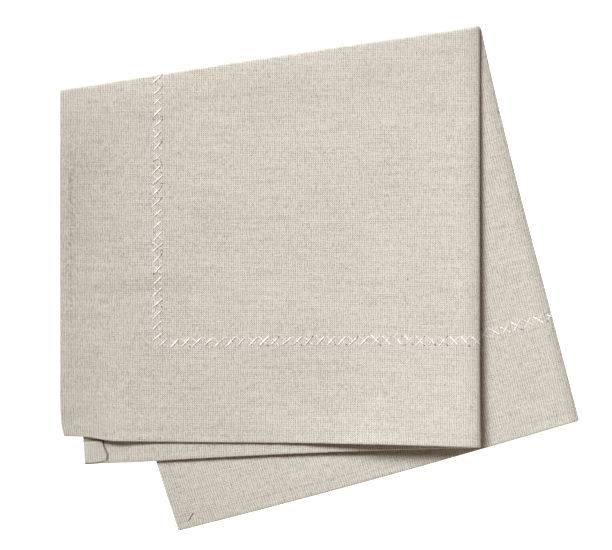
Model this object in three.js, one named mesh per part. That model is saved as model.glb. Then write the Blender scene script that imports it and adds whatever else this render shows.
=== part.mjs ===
// A linen napkin folded in quarters: one hemmed square of cloth, folded in half along a crease
// and then in half again along a fold that runs a little askew, lying flat on a table.
// Millimetres, +Z up, resting on z = 0, with the middle of its outline at the origin.
import * as THREE from "three";

// The square of cloth, opened out
const CLOTH_SIDE = 450;
const CLOTH_THICKNESS = 1.0;
const HEM_WIDTH = 10;
const HEM_STEP = 1.0; // run from the hem's full thickness down to the plain cloth
const HEM_EXTRA = 0.6; // what the turned hem adds, on the wrong side of the cloth
const LINEN = { color: 0xcec9be, roughness: 0.95, metalness: 0 };

// Plan of the folded napkin. Each layer is a quarter of the cloth with four corners: the end of the
// second fold at the side hem, the free corner of the hems, the foot of the crease, and the apex
// where the crease meets the second fold. The crease joins the top layer to the second and the
// third to the bottom one. The fold joins the top layer to the bottom one, round the other two.
// A bow moves the middle of an edge out of line: the side hem to -X, the crease to +X, the foot hem
// to -Y. A skew lowers the foot hem's outer half and raises its inner half. The apex shift moves
// the lower crease out at its fold end. The tuck draws the free corner in from the lines of its hems.
const APEX = [86.4, 136.55];
const OUTER_FOLD_END = [-140.3, 101.95];
const INNER_FOLD_END = [-131.5, 103.25];
const UPPER_CREASE_FOOT = [86.6, -91.25];
const LOWER_CREASE_FOOT = [140.3, -76.95];
const LAYERS = {
  top: {
    foldEnd: OUTER_FOLD_END, hemCorner: [-140.3, -87.35], creaseFoot: UPPER_CREASE_FOOT,
    sideBow: 0, creaseBow: 0, apexShift: 0, footBow: -0.35, footSkew: 0.4, tuck: [2.2, 1.9],
  },
  second: {
    foldEnd: INNER_FOLD_END, hemCorner: [-126.9, -101.15], creaseFoot: UPPER_CREASE_FOOT,
    sideBow: 2.0, creaseBow: 0, apexShift: 0, footBow: -0.9, footSkew: 0, tuck: [0, 0.4],
  },
  third: {
    foldEnd: INNER_FOLD_END, hemCorner: [-76.3, -136.55], creaseFoot: LOWER_CREASE_FOOT,
    sideBow: 6.5, creaseBow: -1.4, apexShift: 0.8, footBow: 1.35, footSkew: 0, tuck: [0, 0],
  },
  bottom: {
    foldEnd: OUTER_FOLD_END, hemCorner: [-74.7, -133.35], creaseFoot: LOWER_CREASE_FOOT,
    sideBow: 4.0, creaseBow: -1.4, apexShift: 0.8, footBow: 0.5, footSkew: 0, tuck: [0, 0],
  },
};
const FOLD_BOW = 0.5;
const TUCK_POWER = 30; // how late along its hems the free corner turns in from the side
const TUCK_RUN = [0.865, 0.95]; // where across the layer its foot hem turns up
const TUCK_FADE = 12;

// Air between neighbouring layers: over the field, and what the second fold, the crease (at its
// fold end and at its foot) and the thicker hems add to it, each dying away over its own reach.
// The roll is how far the cloth comes down again into the crease, at the same two ends.
const GAPS = {
  topToSecond: { field: 0.8, fold: 0.1, crease: [0.9, 2.7], creaseReach: 26, roll: [0.7, 0.9], hem: 0.9 },
  secondToThird: { field: 0.5, fold: 0.3, crease: [0.1, 6.4], creaseReach: 40, roll: [0, 1.2], hem: 0 },
  thirdToBottom: { field: 0.7, fold: 0.3, crease: [0.9, 2.1], creaseReach: 22, roll: [0.7, 0.7], hem: 1.2 },
};
const FOLD_REACH = 18;
const ROLL_REACH = 4;
const HEM_REACH = 24;

// The upper two layers' foot hems stand up a little in places, measured from the crease. The top
// layer rides on the second one's lift.
const SECOND_LIFTS = [{ fromCrease: 40, spread: 32, height: 2.0 }];
const TOP_LIFTS = [
  { fromCrease: 58, spread: 30, height: 3.4 },
  { fromCrease: 196, spread: 15, height: 2.3 },
  ...SECOND_LIFTS,
];
const LIFT_REACH = 22;

// Past the side hem of the third layer the upper two sink towards the table.
const SINK_RUN = 46;
const SINK_CLEARANCE = 1.6;

// Mesh lines, as flat distances from a fold's middle line: close together round the bend, then
// even steps over the field, and the two lines of the hem.
const BEND_LINES = [0, 0.9, 1.8, 2.8, 4.0, 5.5, 7.5, 11, 17, 27];
const FIELD_STEPS = 9;

const HALF_SIDE = CLOTH_SIDE / 2;
const HALF_THICKNESS = CLOTH_THICKNESS / 2;
const SLOPE_STEP = 0.02; // flat step over which the cloth's direction is measured

const { clamp, lerp, smoothstep } = THREE.MathUtils;

// How far a point lies inside the line from start to end, with the inside on the line's left
function inset(start, end, x, y) {
  const dx = end[0] - start[0];
  const dy = end[1] - start[1];
  return (dx * (y - start[1]) - dy * (x - start[0])) / Math.hypot(dx, dy);
}

// Cloth that runs flat into a half-round bend: how far in from the bend's outer edge a point lies,
// and the sine of the angle that it has turned through from the bend's middle line
function roundBend(flatDistance, radius) {
  const angle = clamp(flatDistance / radius, -Math.PI / 2, Math.PI / 2);
  const past = Math.max(Math.abs(flatDistance) - (radius * Math.PI) / 2, 0);
  return { inset: radius * (1 - Math.cos(angle)) + past, turn: Math.sin(angle) };
}

// A layer's plan position: across runs from the crease (0) to the side hem (1), and along from the
// second fold (0) to the foot hem (1)
function planPoint(layer, across, along) {
  const { foldEnd, hemCorner, creaseFoot, sideBow, creaseBow, apexShift, footBow, footSkew, tuck } = layer;
  const alongBow = 4 * along * (1 - along);
  const acrossBow = 4 * across * (1 - across);
  const upperBow = 6.75 * along * (1 - along) ** 2;
  const blend = (axis) =>
    lerp(lerp(APEX[axis], foldEnd[axis], across), lerp(creaseFoot[axis], hemCorner[axis], across), along);
  return [
    blend(0) - sideBow * alongBow * across
      + (creaseBow * upperBow + apexShift * (1 - along)) * (1 - across)
      + tuck[0] * (across * along) ** TUCK_POWER,
    blend(1) + FOLD_BOW * acrossBow * (1 - along)
      - footBow * acrossBow * along + footSkew * Math.sin(2 * Math.PI * across) * along
      + tuck[1] * smoothstep(across, ...TUCK_RUN) * along ** TUCK_FADE,
  ];
}

// The air under a layer at a plan position, from a row of GAPS and the edges that it is measured from
function gapAt(gap, layer, x, y) {
  const { foldEnd, hemCorner, creaseFoot } = layer;
  const fromFold = Math.max(inset(APEX, foldEnd, x, y), 0);
  const fromCrease = Math.max(inset(creaseFoot, APEX, x, y), 0);
  const fromHem = Math.max(
    Math.min(inset(foldEnd, hemCorner, x, y), inset(hemCorner, creaseFoot, x, y)), 0);
  const downCrease = clamp(fromFold / HALF_SIDE, 0, 1);
  return gap.field
    + gap.fold * Math.exp(-fromFold / FOLD_REACH)
    + lerp(...gap.crease, downCrease) * Math.exp(-fromCrease / gap.creaseReach)
    - lerp(...gap.roll, downCrease) * Math.exp(-fromCrease / ROLL_REACH)
    + gap.hem * Math.exp(-fromHem / HEM_REACH);
}

// How far up a layer's foot hem stands at a place on that layer
function hemLift(lifts, across, along) {
  const fromCrease = across * HALF_SIDE;
  const fromHem = (1 - along) * HALF_SIDE;
  return lifts.reduce((sum, lift) => {
    const off = (fromCrease - lift.fromCrease) / lift.spread;
    return sum + lift.height * Math.exp(-off * off - fromHem / LIFT_REACH);
  }, 0);
}

// Heights of the layers' middles, each one laid on the layer under it
function bottomHeight() {
  return HALF_THICKNESS;
}

function thirdHeight(x, y) {
  return bottomHeight() + CLOTH_THICKNESS + gapAt(GAPS.thirdToBottom, LAYERS.third, x, y);
}

function secondHeight(x, y) {
  const { foldEnd, hemCorner, sideBow } = LAYERS.third;
  const laid = thirdHeight(x, y) + CLOTH_THICKNESS + gapAt(GAPS.secondToThird, LAYERS.second, x, y);
  const pastHem = -inset(foldEnd, hemCorner, x, y) - sideBow;
  return lerp(laid, HALF_THICKNESS + SINK_CLEARANCE, smoothstep(pastHem, 0, SINK_RUN));
}

function topHeight(x, y) {
  return secondHeight(x, y) + CLOTH_THICKNESS + gapAt(GAPS.topToSecond, LAYERS.top, x, y);
}

// Half the height between the two layers that the crease joins, at the apex and at the foot
const APEX_RADIUS = (topHeight(...APEX) - secondHeight(...APEX)) / 2;
const FOOT_RADIUS = (topHeight(...UPPER_CREASE_FOOT) - secondHeight(...UPPER_CREASE_FOOT)) / 2;

// One point of the cloth's middle surface. u runs across the crease: below 0 is the half that shows
// as the top and bottom layers. v runs across the second fold: below 0 are the two upper layers.
function clothPoint(u, v) {
  const creaseRadius = lerp(APEX_RADIUS, FOOT_RADIUS, Math.abs(v) / HALF_SIDE);
  const crease = roundBend(u, creaseRadius);
  const across = (crease.inset + HALF_THICKNESS)
    / (roundBend(HALF_SIDE, creaseRadius).inset + HALF_THICKNESS);
  const outer = (1 - crease.turn) / 2;

  const foldAt = [lerp(APEX[0], OUTER_FOLD_END[0], across), lerp(APEX[1], OUTER_FOLD_END[1], across)];
  const outerRadius = (topHeight(...foldAt) - bottomHeight()) / 2;
  const innerRadius = (secondHeight(...foldAt) - thirdHeight(...foldAt)) / 2;
  const radius = lerp(innerRadius, outerRadius, outer);
  const fold = roundBend(v, radius);
  const within = outerRadius - radius + HALF_THICKNESS;
  const along = (fold.inset + within) / (roundBend(HALF_SIDE, radius).inset + within);
  const upper = (1 - fold.turn) / 2;

  const point = new THREE.Vector3();
  const addLayer = (weight, layer, heightAt) => {
    const [x, y] = planPoint(layer, across, along);
    point.addScaledVector(new THREE.Vector3(x, y, heightAt(x, y)), weight);
  };
  const topLift = hemLift(TOP_LIFTS, across, along);
  const secondLift = hemLift(SECOND_LIFTS, across, along);
  addLayer(upper * outer, LAYERS.top, (x, y) => topHeight(x, y) + topLift);
  addLayer(upper * (1 - outer), LAYERS.second, (x, y) => secondHeight(x, y) + secondLift);
  addLayer((1 - upper) * (1 - outer), LAYERS.third, thirdHeight);
  addLayer((1 - upper) * outer, LAYERS.bottom, bottomHeight);
  return point;
}

// The way the cloth's face looks at a point
function faceNormal(u, v) {
  const alongU = clothPoint(u + SLOPE_STEP, v).sub(clothPoint(u - SLOPE_STEP, v));
  const alongV = clothPoint(u, v + SLOPE_STEP).sub(clothPoint(u, v - SLOPE_STEP));
  return alongU.cross(alongV).normalize();
}

// Thickness that the hem adds at a flat place
function hemExtra(u, v) {
  const fromEdge = HALF_SIDE - Math.max(Math.abs(u), Math.abs(v));
  return HEM_EXTRA * (1 - smoothstep(fromEdge, HEM_WIDTH, HEM_WIDTH + HEM_STEP));
}

// Flat distances of all the mesh lines on one axis, from hem to hem
function meshLines() {
  const bendEnd = BEND_LINES[BEND_LINES.length - 1];
  const hemStart = HALF_SIDE - HEM_WIDTH - HEM_STEP;
  const half = [...BEND_LINES];
  for (let step = 1; step <= FIELD_STEPS; step += 1) {
    half.push(lerp(bendEnd, hemStart, step / FIELD_STEPS));
  }
  half.push(HALF_SIDE - HEM_WIDTH, HALF_SIDE);
  const mirrored = half.slice(1).reverse().map((distance) => -distance);
  return [...mirrored, ...half];
}

// The closed cloth: a grid for the face, one for the wrong side, and the rim that joins them
function clothGeometry() {
  const lines = meshLines();
  const count = lines.length;
  const positions = [];
  for (const side of ["face", "wrong"]) {
    for (const v of lines) {
      for (const u of lines) {
        const offset = side === "face" ? HALF_THICKNESS : -HALF_THICKNESS - hemExtra(u, v);
        positions.push(...clothPoint(u, v).addScaledVector(faceNormal(u, v), offset));
      }
    }
  }

  const triangles = [];
  const quad = (a, b, c, d) => triangles.push(a, b, c, a, c, d);
  const face = (i, j) => j * count + i;
  const wrong = (i, j) => count * count + face(i, j);
  const last = count - 1;
  for (let j = 0; j < last; j += 1) {
    for (let i = 0; i < last; i += 1) {
      quad(face(i, j), face(i + 1, j), face(i + 1, j + 1), face(i, j + 1));
      quad(wrong(i, j), wrong(i, j + 1), wrong(i + 1, j + 1), wrong(i + 1, j));
    }
  }
  for (let i = 0; i < last; i += 1) {
    quad(wrong(i, 0), wrong(i + 1, 0), face(i + 1, 0), face(i, 0));
    quad(wrong(last, i), wrong(last, i + 1), face(last, i + 1), face(last, i));
    quad(wrong(i + 1, last), wrong(i, last), face(i, last), face(i + 1, last));
    quad(wrong(0, i + 1), wrong(0, i), face(0, i), face(0, i + 1));
  }

  const geometry = new THREE.BufferGeometry();
  geometry.setAttribute("position", new THREE.Float32BufferAttribute(positions, 3));
  geometry.setIndex(triangles);
  geometry.computeVertexNormals();
  return geometry;
}

const cloth = new THREE.Mesh(clothGeometry(), new THREE.MeshStandardMaterial(LINEN));
cloth.name = "napkin_cloth";

const napkin = new THREE.Group();
napkin.add(cloth);

export default napkin;
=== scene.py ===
"""A linen napkin folded in quarters, as a Blender add-on that is run as a script.

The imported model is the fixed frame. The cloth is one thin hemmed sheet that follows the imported
solid's folds, with its border of cross-stitch and its hem stitching as thread on it. Shapes are
worked out in millimetres, in the frame's axes, and go to metres when a mesh is made.

Three kinds of place are used:
- flat: millimetres on the opened cloth, from the middle of the square
- param (u, v): the same square with the crease moved to u = 0 and the second fold to v = 0
- plan: x and y of the folded napkin, seen from above
"""

import math

import bpy
import numpy as np
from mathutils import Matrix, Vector


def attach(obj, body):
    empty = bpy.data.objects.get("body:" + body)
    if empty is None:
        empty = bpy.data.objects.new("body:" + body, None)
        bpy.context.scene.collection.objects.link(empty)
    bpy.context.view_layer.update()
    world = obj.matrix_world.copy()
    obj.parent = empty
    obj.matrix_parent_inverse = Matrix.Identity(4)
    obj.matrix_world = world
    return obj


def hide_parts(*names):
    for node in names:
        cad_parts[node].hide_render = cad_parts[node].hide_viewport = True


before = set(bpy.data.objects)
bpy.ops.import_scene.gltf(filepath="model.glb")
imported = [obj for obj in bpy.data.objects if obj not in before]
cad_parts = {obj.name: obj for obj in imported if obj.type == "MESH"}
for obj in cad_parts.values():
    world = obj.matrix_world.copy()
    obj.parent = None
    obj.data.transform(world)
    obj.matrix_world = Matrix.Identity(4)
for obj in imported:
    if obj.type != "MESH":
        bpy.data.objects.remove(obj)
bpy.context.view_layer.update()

bl_info = {
    "name": "Folded Linen Napkin",
    "version": (1, 0, 0),
    "blender": (4, 5, 0),
    "location": "3D View > Sidebar > Napkin",
    "description": "Makes a hemmed linen napkin folded in quarters, with a border of cross-stitch",
    "category": "Add Mesh",
}

MM = 0.001
CLOTH_NODE = "napkin_cloth"
SEED = 11

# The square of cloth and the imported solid's thickness, which spaces the layers
HALF_SIDE = 225.0
LAYER_STEP = 1.0

# Plan of the folded napkin, as in the part's source. Each layer is a quarter of the cloth with four
# corners: the end of the second fold at the side hem, the free corner of the hems, the foot of the
# crease, and the apex where the crease meets the second fold. A bow moves the middle of an edge out
# of line, and the tuck draws the free corner in.
APEX = (86.4, 136.55)
OUTER_FOLD_END = (-140.3, 101.95)
INNER_FOLD_END = (-131.5, 103.25)
UPPER_CREASE_FOOT = (86.6, -91.25)
LOWER_CREASE_FOOT = (140.3, -76.95)
LAYERS = {
    "top": {
        "fold_end": OUTER_FOLD_END, "hem_corner": (-140.3, -87.35), "crease_foot": UPPER_CREASE_FOOT,
        "side_bow": 0.0, "crease_bow": 0.0, "apex_shift": 0.0,
        "foot_bow": -0.35, "foot_skew": 0.4, "tuck": (2.2, 1.9),
    },
    "second": {
        "fold_end": INNER_FOLD_END, "hem_corner": (-126.9, -101.15), "crease_foot": UPPER_CREASE_FOOT,
        "side_bow": 2.0, "crease_bow": 0.0, "apex_shift": 0.0,
        "foot_bow": -0.9, "foot_skew": 0.0, "tuck": (0.0, 0.4),
    },
    "third": {
        "fold_end": INNER_FOLD_END, "hem_corner": (-76.3, -136.55), "crease_foot": LOWER_CREASE_FOOT,
        "side_bow": 6.5, "crease_bow": -1.4, "apex_shift": 0.8,
        "foot_bow": 1.35, "foot_skew": 0.0, "tuck": (0.0, 0.0),
    },
    "bottom": {
        "fold_end": OUTER_FOLD_END, "hem_corner": (-74.7, -133.35), "crease_foot": LOWER_CREASE_FOOT,
        "side_bow": 4.0, "crease_bow": -1.4, "apex_shift": 0.8,
        "foot_bow": 0.5, "foot_skew": 0.0, "tuck": (0.0, 0.0),
    },
}
FOLD_BOW = 0.5
TUCK_POWER = 30
TUCK_RUN = (0.865, 0.95)
TUCK_FADE = 12

# Air under a layer: over the field, and what the second fold, the crease (at its fold end and at
# its foot) and the hems add, each dying away over its own reach. The roll is how far the cloth
# comes down again into the crease.
GAPS = {
    "top": {"field": 0.8, "fold": 0.1, "crease": (0.5, 2.2), "crease_reach": 26.0, "roll": (0.5, 0.9),
            "hem": 0.7},
    "second": {"field": 0.5, "fold": 0.3, "crease": (0.1, 6.4), "crease_reach": 40.0, "roll": (0.0, 1.2),
               "hem": 0.0},
    "third": {"field": 0.7, "fold": 0.3, "crease": (0.9, 2.1), "crease_reach": 22.0, "roll": (0.7, 0.7),
              "hem": 1.2},
}
FOLD_REACH = 18.0
FOLD_SQUASH = 0.4
ROLL_REACH = 4.0
HEM_REACH = 24.0

# Places where the upper layers' foot hems stand up: from the crease, spread and height
HEM_LIFTS = {
    "top": ((58.0, 30.0, 3.4), (196.0, 15.0, 2.3)),
    "second": ((40.0, 32.0, 2.0),),
}
LIFT_REACH = 22.0

# Past the side hem of the third layer the upper two sink towards the table
SINK_RUN = 46.0
SINK_CLEARANCE = 1.6

# Where the crease and the second fold lie on the opened cloth, because neither is quite halfway
CREASE_AT_FOLD = 4.6
CREASE_AT_FOOT = {"upper": 5.0, "lower": -1.0}
FOLD_AT_CREASE = 4.0
FOLD_AT_SIDE = {"outer": -29.0, "inner": -21.0}

# Mesh lines: from a fold's middle line, and from a hem's edge
BEND_LINES = (0, 0.6, 1.2, 1.8, 2.4, 3.1, 3.8, 4.6, 5.5, 6.5, 7.6, 8.9, 10.4, 12.2, 14.4, 17.0)
FIELD_LINES = 60
HEM_LINES = (
    14.6, 13.9, 13.3, 12.7, 12.2, 11.8, 11.4, 11.0, 10.6, 10.2, 9.8, 9.3, 8.6, 7.8, 7.2, 6.8, 6.5,
    6.2, 5.8, 5.0, 3.8, 2.6, 1.6, 0.9, 0.45, 0.2, 0.05, 0.0,
)
SLOPE_STEP = 0.05

# Slow unevenness of the cloth: wave length, direction in degrees, height and phase in degrees
SOFT_WAVES = (
    (112.0, 24.0, 0.16, 40.0),
    (73.0, 101.0, 0.12, 210.0),
    (51.0, 63.0, 0.07, 305.0),
    (38.0, 152.0, 0.05, 80.0),
    (27.0, 8.0, 0.03, 140.0),
)

# How much of it each layer takes, from the table up, and whether the layer's face looks up
WAVE_SHARE = {"top": 1.0, "second": 0.75, "third": 0.45, "bottom": 0.0}
FACE_UP = {"top": 1, "second": -1, "third": 1, "bottom": -1}

# Soft troughs and ridges pressed into the top layer: plan ends, half width and height
PRESSED_MARKS = (
    ((-140.0, -8.0), (-64.0, -8.5), 3.0, -0.30),
    ((-140.0, 1.5), (-58.0, 2.0), 6.0, 0.30),
    ((-64.0, 101.0), (-16.0, 90.0), 14.0, -0.45),
    ((-70.0, 62.0), (-62.0, 56.0), 7.0, -0.22),
    ((-128.0, 78.0), (-122.0, 10.0), 8.0, -0.30),
    ((20.0, 60.0), (60.0, 20.0), 24.0, 0.35),
)

# The turned hem's inner edge on the wrong side: how far it wavers and over what run, the bulge where
# the foot hem is turned over the side hem (width, place, spread), the corner cut back, and what the
# foot hem is wider. The step is half the width of the slope from hem to single cloth, and the edge
# is rounded over the last bit of the cloth.
SIDE_WAVER = (0.5, 19.0)
FOOT_WAVER = (0.4, 23.0)
CORNER_BULGE = (2.2, 4.0, 4.5)
CORNER_CUT = (5.0, 1.6)
FOOT_EXTRA = 2.8
HEM_STEP = 0.3
EDGE_ROUND = 0.8

# Small waves that the stitching draws into the hems: height, reach from the edge, and the runs of
# the short wave, of its drift and of the long wave
RIPPLE_HEIGHT = 0.09
RIPPLE_REACH = 9.0
RIPPLE_RUNS = (2.1, 13.0, 4.7)

# How tightly the stitching draws up the hems, what a stretch of the top layer's side hem adds, where
# that starts and ends, and the band where the puckers' shade is painted (inset, spread)
HEM_PULL = 0.15
TIGHT_PULL = 0.75
TIGHT_RUN = ((60, 90), (115, 175))
PUCKER_SHADE_BAND = (6.0, 3.8)
GROOVE_WIDTH = 0.55
FACE_GROOVE = 0.07
WRONG_GROOVE = 0.08

# Painted light and shade in the cloth's tone, in soft bands, as a share of its colour, with where each
# band starts and ends: a painted highlight along the fold and painted shade at the side hem on the top
# layer, and painted shade along the crease of the upper two layers and of the lower two
FOLD_HIGHLIGHT = {"share": 0.135, "rise": (0.0, 2.5), "fade": (1, 22), "full_at": 180}
SIDE_SHADE = {"share": 0.123, "rise": (26, 60), "fade": (12, 40), "ease": 0.58, "eased": (75, 115)}
CREASE_SHADE = ((0.13, 0, 11), (0.14, 2, 8))

# Tone of the weave from the hollows' colour to the crowns': its base, its middle, and how strongly it
# shows in the pressed field and by the top layer's side hem
WEAVE_BASE = 0.14
WEAVE_MIDDLE = 0.67
PRESSED_WEAVE = 0.95
LOOSE_WEAVE = 0.25
LOOSE_FADE = (20, 110)

# The stitched square's corners on the opened cloth, which sit a little unevenly inside the hems.
# Along the two long rows the worker's upper stroke changes its slant at one flat place, and each
# stroke stops short of the next cross by a share of the pitch.
BORDER = ((-171.4, -170.9), (170.0, -166.2), (170.0, 166.0), (-171.4, 166.0))
SLANT_CHANGE = -60.0
STROKE_INSET = 0.1
STROKE_JITTER = 0.22
CROSS_RINGS = 13

# Hand work: limits of its unevenness, heights of the upper and lower strokes, and what the lower ones
# keep of the thread's thickness and freshness; the freshness they lose is painted shade on them
UNEVEN = {"radius": (0.8, 1.1), "rise": (-0.04, 0.05), "tone": (0.9, 1.04), "lumps": (0.6, 1.2)}
UPPER_RISE = 0.17
LOWER_RISE = 0.04
LOWER_RADIUS = 0.75
LOWER_UNSHADED = 0.55

# Worn lengths: places along a stroke, the wear that shows, and the tones of worn and fresh thread.
# Needle holes: the odds that one stays open at either end, the darkness of the painted shade in it and its
# share of the stroke.
WEAR_PLACES = 5
WEAR_SHOWN = (0.2, 0.55)
THREAD_TONES = (0.76, 1.03)
HOLE_SHADE_ODDS = (0.1, 0.36)
HOLE_SHADE = 0.95
HOLE_SHADE_SHARE = 0.17

# Stitches lie flattened on the cloth and are thinner at their ends
THREAD_FLATNESS = 0.42
THREAD_END = 0.7

# Machine stitches of the hem: share of the pitch on top, start past the hole, wander and tones, and
# the dark thicker end of the thread that closes one corner
HEM_REACHES = (0.68, 0.82)
HEM_START = 0.3
HEM_WANDER = 0.12
HEM_TONES = (0.8, 1.0)
CORNER_THREAD = ((212.8, 216.4), (219.4, 222.6))
CORNER_TONE = 0.2
CORNER_RADIUS = 1.5

# Studio: where the key light points and its slight coolness, the warm room, the floor's glow, and the
# place that the camera looks at, in millimetres
KEY_AIM = (0.1, 0.0, 0.0)
KEY_COLOUR = (0.985, 1.0, 0.995)
ROOM_COLOUR = (1.0, 0.74, 0.5)
GLOW_COLOUR = (1.0, 0.97, 0.94)
GLOW_STRENGTH = 1.05
CAMERA_AIM = (-7.37, 1.54, 6.0)


def linear(hex_colour):
    """Linear red, green and blue of an sRGB hex colour."""
    channels = [int(hex_colour[i:i + 2], 16) / 255 for i in (1, 3, 5)]
    return tuple(c / 12.92 if c <= 0.04045 else ((c + 0.055) / 1.055) ** 2.4 for c in channels)


def opaque(colour):
    """A colour property as the red, green, blue and alpha that a shader socket takes."""
    return (*colour, 1.0)


def add(tree, kind, inputs=None, out=0, **settings):
    """Adds a node with its settings, sets or links its inputs, and gives back one of its outputs."""
    made = tree.nodes.new(kind)
    for name, value in settings.items():
        setattr(made, name, value)
    for name, value in (inputs or {}).items():
        if isinstance(value, bpy.types.NodeSocket):
            tree.links.new(value, made.inputs[name])
        else:
            made.inputs[name].default_value = value
    return made.outputs[out] if made.outputs else made


class NapkinClothSettings(bpy.types.PropertyGroup):
    """Sizes and colours of the linen."""

    thickness: bpy.props.FloatProperty(
        name="Cloth thickness", description="Thickness of a single layer of linen",
        default=0.6 * MM, min=0.1 * MM, precision=5, unit="LENGTH")
    hem_width: bpy.props.FloatProperty(
        name="Hem width", description="Width of the turned hem on the wrong side",
        default=10.2 * MM, min=4 * MM, precision=5, unit="LENGTH")
    hem_thickness: bpy.props.FloatProperty(
        name="Hem thickness", description="What the turned hem adds to the thickness",
        default=0.7 * MM, min=0.0, precision=5, unit="LENGTH")
    warp_spacing: bpy.props.FloatProperty(
        name="Warp spacing", description="Drawn distance between warp threads",
        default=1.25 * MM, min=0.2 * MM, precision=5, unit="LENGTH")
    weft_spacing: bpy.props.FloatProperty(
        name="Weft spacing", description="Drawn distance between weft threads",
        default=1.12 * MM, min=0.2 * MM, precision=5, unit="LENGTH")
    crown_colour: bpy.props.FloatVectorProperty(
        name="Thread crowns", description="Linen colour on top of the threads",
        default=linear("#dddad3"), size=3, min=0.0, max=1.0, subtype="COLOR")
    hollow_colour: bpy.props.FloatVectorProperty(
        name="Thread hollows", description="Linen colour between the threads",
        default=linear("#9b968d"), size=3, min=0.0, max=1.0, subtype="COLOR")
    fleck_colour: bpy.props.FloatVectorProperty(
        name="Flecks", description="Colour of the bits of flax straw in the yarn",
        default=linear("#7d6a52"), size=3, min=0.0, max=1.0, subtype="COLOR")


class NapkinStitchSettings(bpy.types.PropertyGroup):
    """Sizes and colours of the embroidery and the hem stitching."""

    cross_pitch: bpy.props.FloatProperty(
        name="Cross pitch", description="Distance from one cross-stitch to the next",
        default=6.1 * MM, min=1 * MM, precision=5, unit="LENGTH")
    cross_width: bpy.props.FloatProperty(
        name="Cross width", description="Width of the row of crosses",
        default=5.0 * MM, min=1 * MM, precision=5, unit="LENGTH")
    embroidery_thread: bpy.props.FloatProperty(
        name="Embroidery thread", description="Diameter of the embroidery thread",
        default=0.88 * MM, min=0.1 * MM, precision=5, unit="LENGTH")
    embroidery_colour: bpy.props.FloatVectorProperty(
        name="Embroidery colour", description="Colour of the embroidery thread",
        default=linear("#fefdf9"), size=3, min=0.0, max=1.0, subtype="COLOR")
    hem_inset: bpy.props.FloatProperty(
        name="Hem stitch inset", description="Distance of the hem stitching from the edge",
        default=6.5 * MM, min=1 * MM, precision=5, unit="LENGTH")
    hem_pitch: bpy.props.FloatProperty(
        name="Hem stitch length", description="Distance from one hem stitch to the next",
        default=3.0 * MM, min=1 * MM, precision=5, unit="LENGTH")
    hem_thread: bpy.props.FloatProperty(
        name="Hem thread", description="Diameter of the sewing thread in the hem",
        default=0.36 * MM, min=0.1 * MM, precision=5, unit="LENGTH")
    hem_colour: bpy.props.FloatVectorProperty(
        name="Hem thread colour", description="Colour of the sewing thread in the hem",
        default=linear("#bfb8ab"), size=3, min=0.0, max=1.0, subtype="COLOR")


class NapkinStageSettings(bpy.types.PropertyGroup):
    """Floor, light and camera."""

    floor_side: bpy.props.FloatProperty(
        name="Floor side", description="Side of the square floor",
        default=6.0, min=1.0, unit="LENGTH")
    floor_colour: bpy.props.FloatVectorProperty(
        name="Floor colour", description="Colour of the painted floor",
        default=linear("#f7f7f6"), size=3, min=0.0, max=1.0, subtype="COLOR")
    key_power: bpy.props.FloatProperty(
        name="Key light", description="Power of the slanting light from beyond the second fold, in watts",
        default=2.95, min=0.0)
    key_size: bpy.props.FloatProperty(
        name="Key size", description="Diameter of the key light's diffuser",
        default=0.95, min=0.01, unit="LENGTH")
    key_distance: bpy.props.FloatProperty(
        name="Key distance", description="Distance of the key light from the napkin",
        default=1.6, min=0.1, unit="LENGTH")
    key_spread: bpy.props.FloatProperty(
        name="Key spread", description="Width of the beam that the key light's grid lets through",
        default=math.radians(33.8), subtype="ANGLE")
    key_azimuth: bpy.props.FloatProperty(
        name="Key direction", description="How far to the left of the second fold the key light is",
        default=math.radians(32), subtype="ANGLE")
    key_elevation: bpy.props.FloatProperty(
        name="Key elevation", description="Height of the key light above the floor",
        default=math.radians(46), subtype="ANGLE")
    sky_strength: bpy.props.FloatProperty(
        name="Room light", description="Strength of the even light from all round",
        default=0.19, min=0.0)
    camera_height: bpy.props.FloatProperty(
        name="Camera height", description="Height of the camera above the napkin",
        default=2.0, min=0.2, unit="LENGTH")
    view_width: bpy.props.FloatProperty(
        name="View width", description="Width of the picture at the napkin",
        default=330.0 * MM, min=0.05, precision=4, unit="LENGTH")


def lerp(start, end, share):
    return start + (end - start) * share


def smooth_step(value, low, high):
    share = np.clip((value - low) / (high - low), 0, 1)
    return share * share * (3 - 2 * share)


def inset(start, end, x, y):
    """How far a plan place lies inside the line from start to end, with the inside on its left."""
    dx = end[0] - start[0]
    dy = end[1] - start[1]
    return (dx * (y - start[1]) - dy * (x - start[0])) / math.hypot(dx, dy)


def round_bend(flat_distance, radius, squash=1.0):
    """Cloth running flat into a half-round bend: the distance in from the bend's outer edge, and
    the sine of the angle turned through from the bend's middle line. A pressed bend is squashed."""
    angle = np.clip(flat_distance / radius, -math.pi / 2, math.pi / 2)
    past = np.maximum(np.abs(flat_distance) - radius * math.pi / 2, 0)
    return radius * squash * (1 - np.cos(angle)) + past, np.sin(angle)


def plan_place(layer, across, along):
    """Plan place on a layer, across from crease (0) to side hem (1), along from fold to foot hem."""
    along_bow = 4 * along * (1 - along)
    across_bow = 4 * across * (1 - across)
    upper_bow = 6.75 * along * (1 - along) ** 2
    tuck_x, tuck_y = layer["tuck"]
    x, y = (
        lerp(
            lerp(APEX[axis], layer["fold_end"][axis], across),
            lerp(layer["crease_foot"][axis], layer["hem_corner"][axis], across),
            along)
        for axis in (0, 1))
    x = x - layer["side_bow"] * along_bow * across
    x = x + (layer["crease_bow"] * upper_bow + layer["apex_shift"] * (1 - along)) * (1 - across)
    x = x + tuck_x * (across * along) ** TUCK_POWER
    y = y + FOLD_BOW * across_bow * (1 - along)
    y = y - layer["foot_bow"] * across_bow * along
    y = y + layer["foot_skew"] * np.sin(2 * math.pi * across) * along
    y = y + tuck_y * smooth_step(across, *TUCK_RUN) * along ** TUCK_FADE
    return x, y


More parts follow.
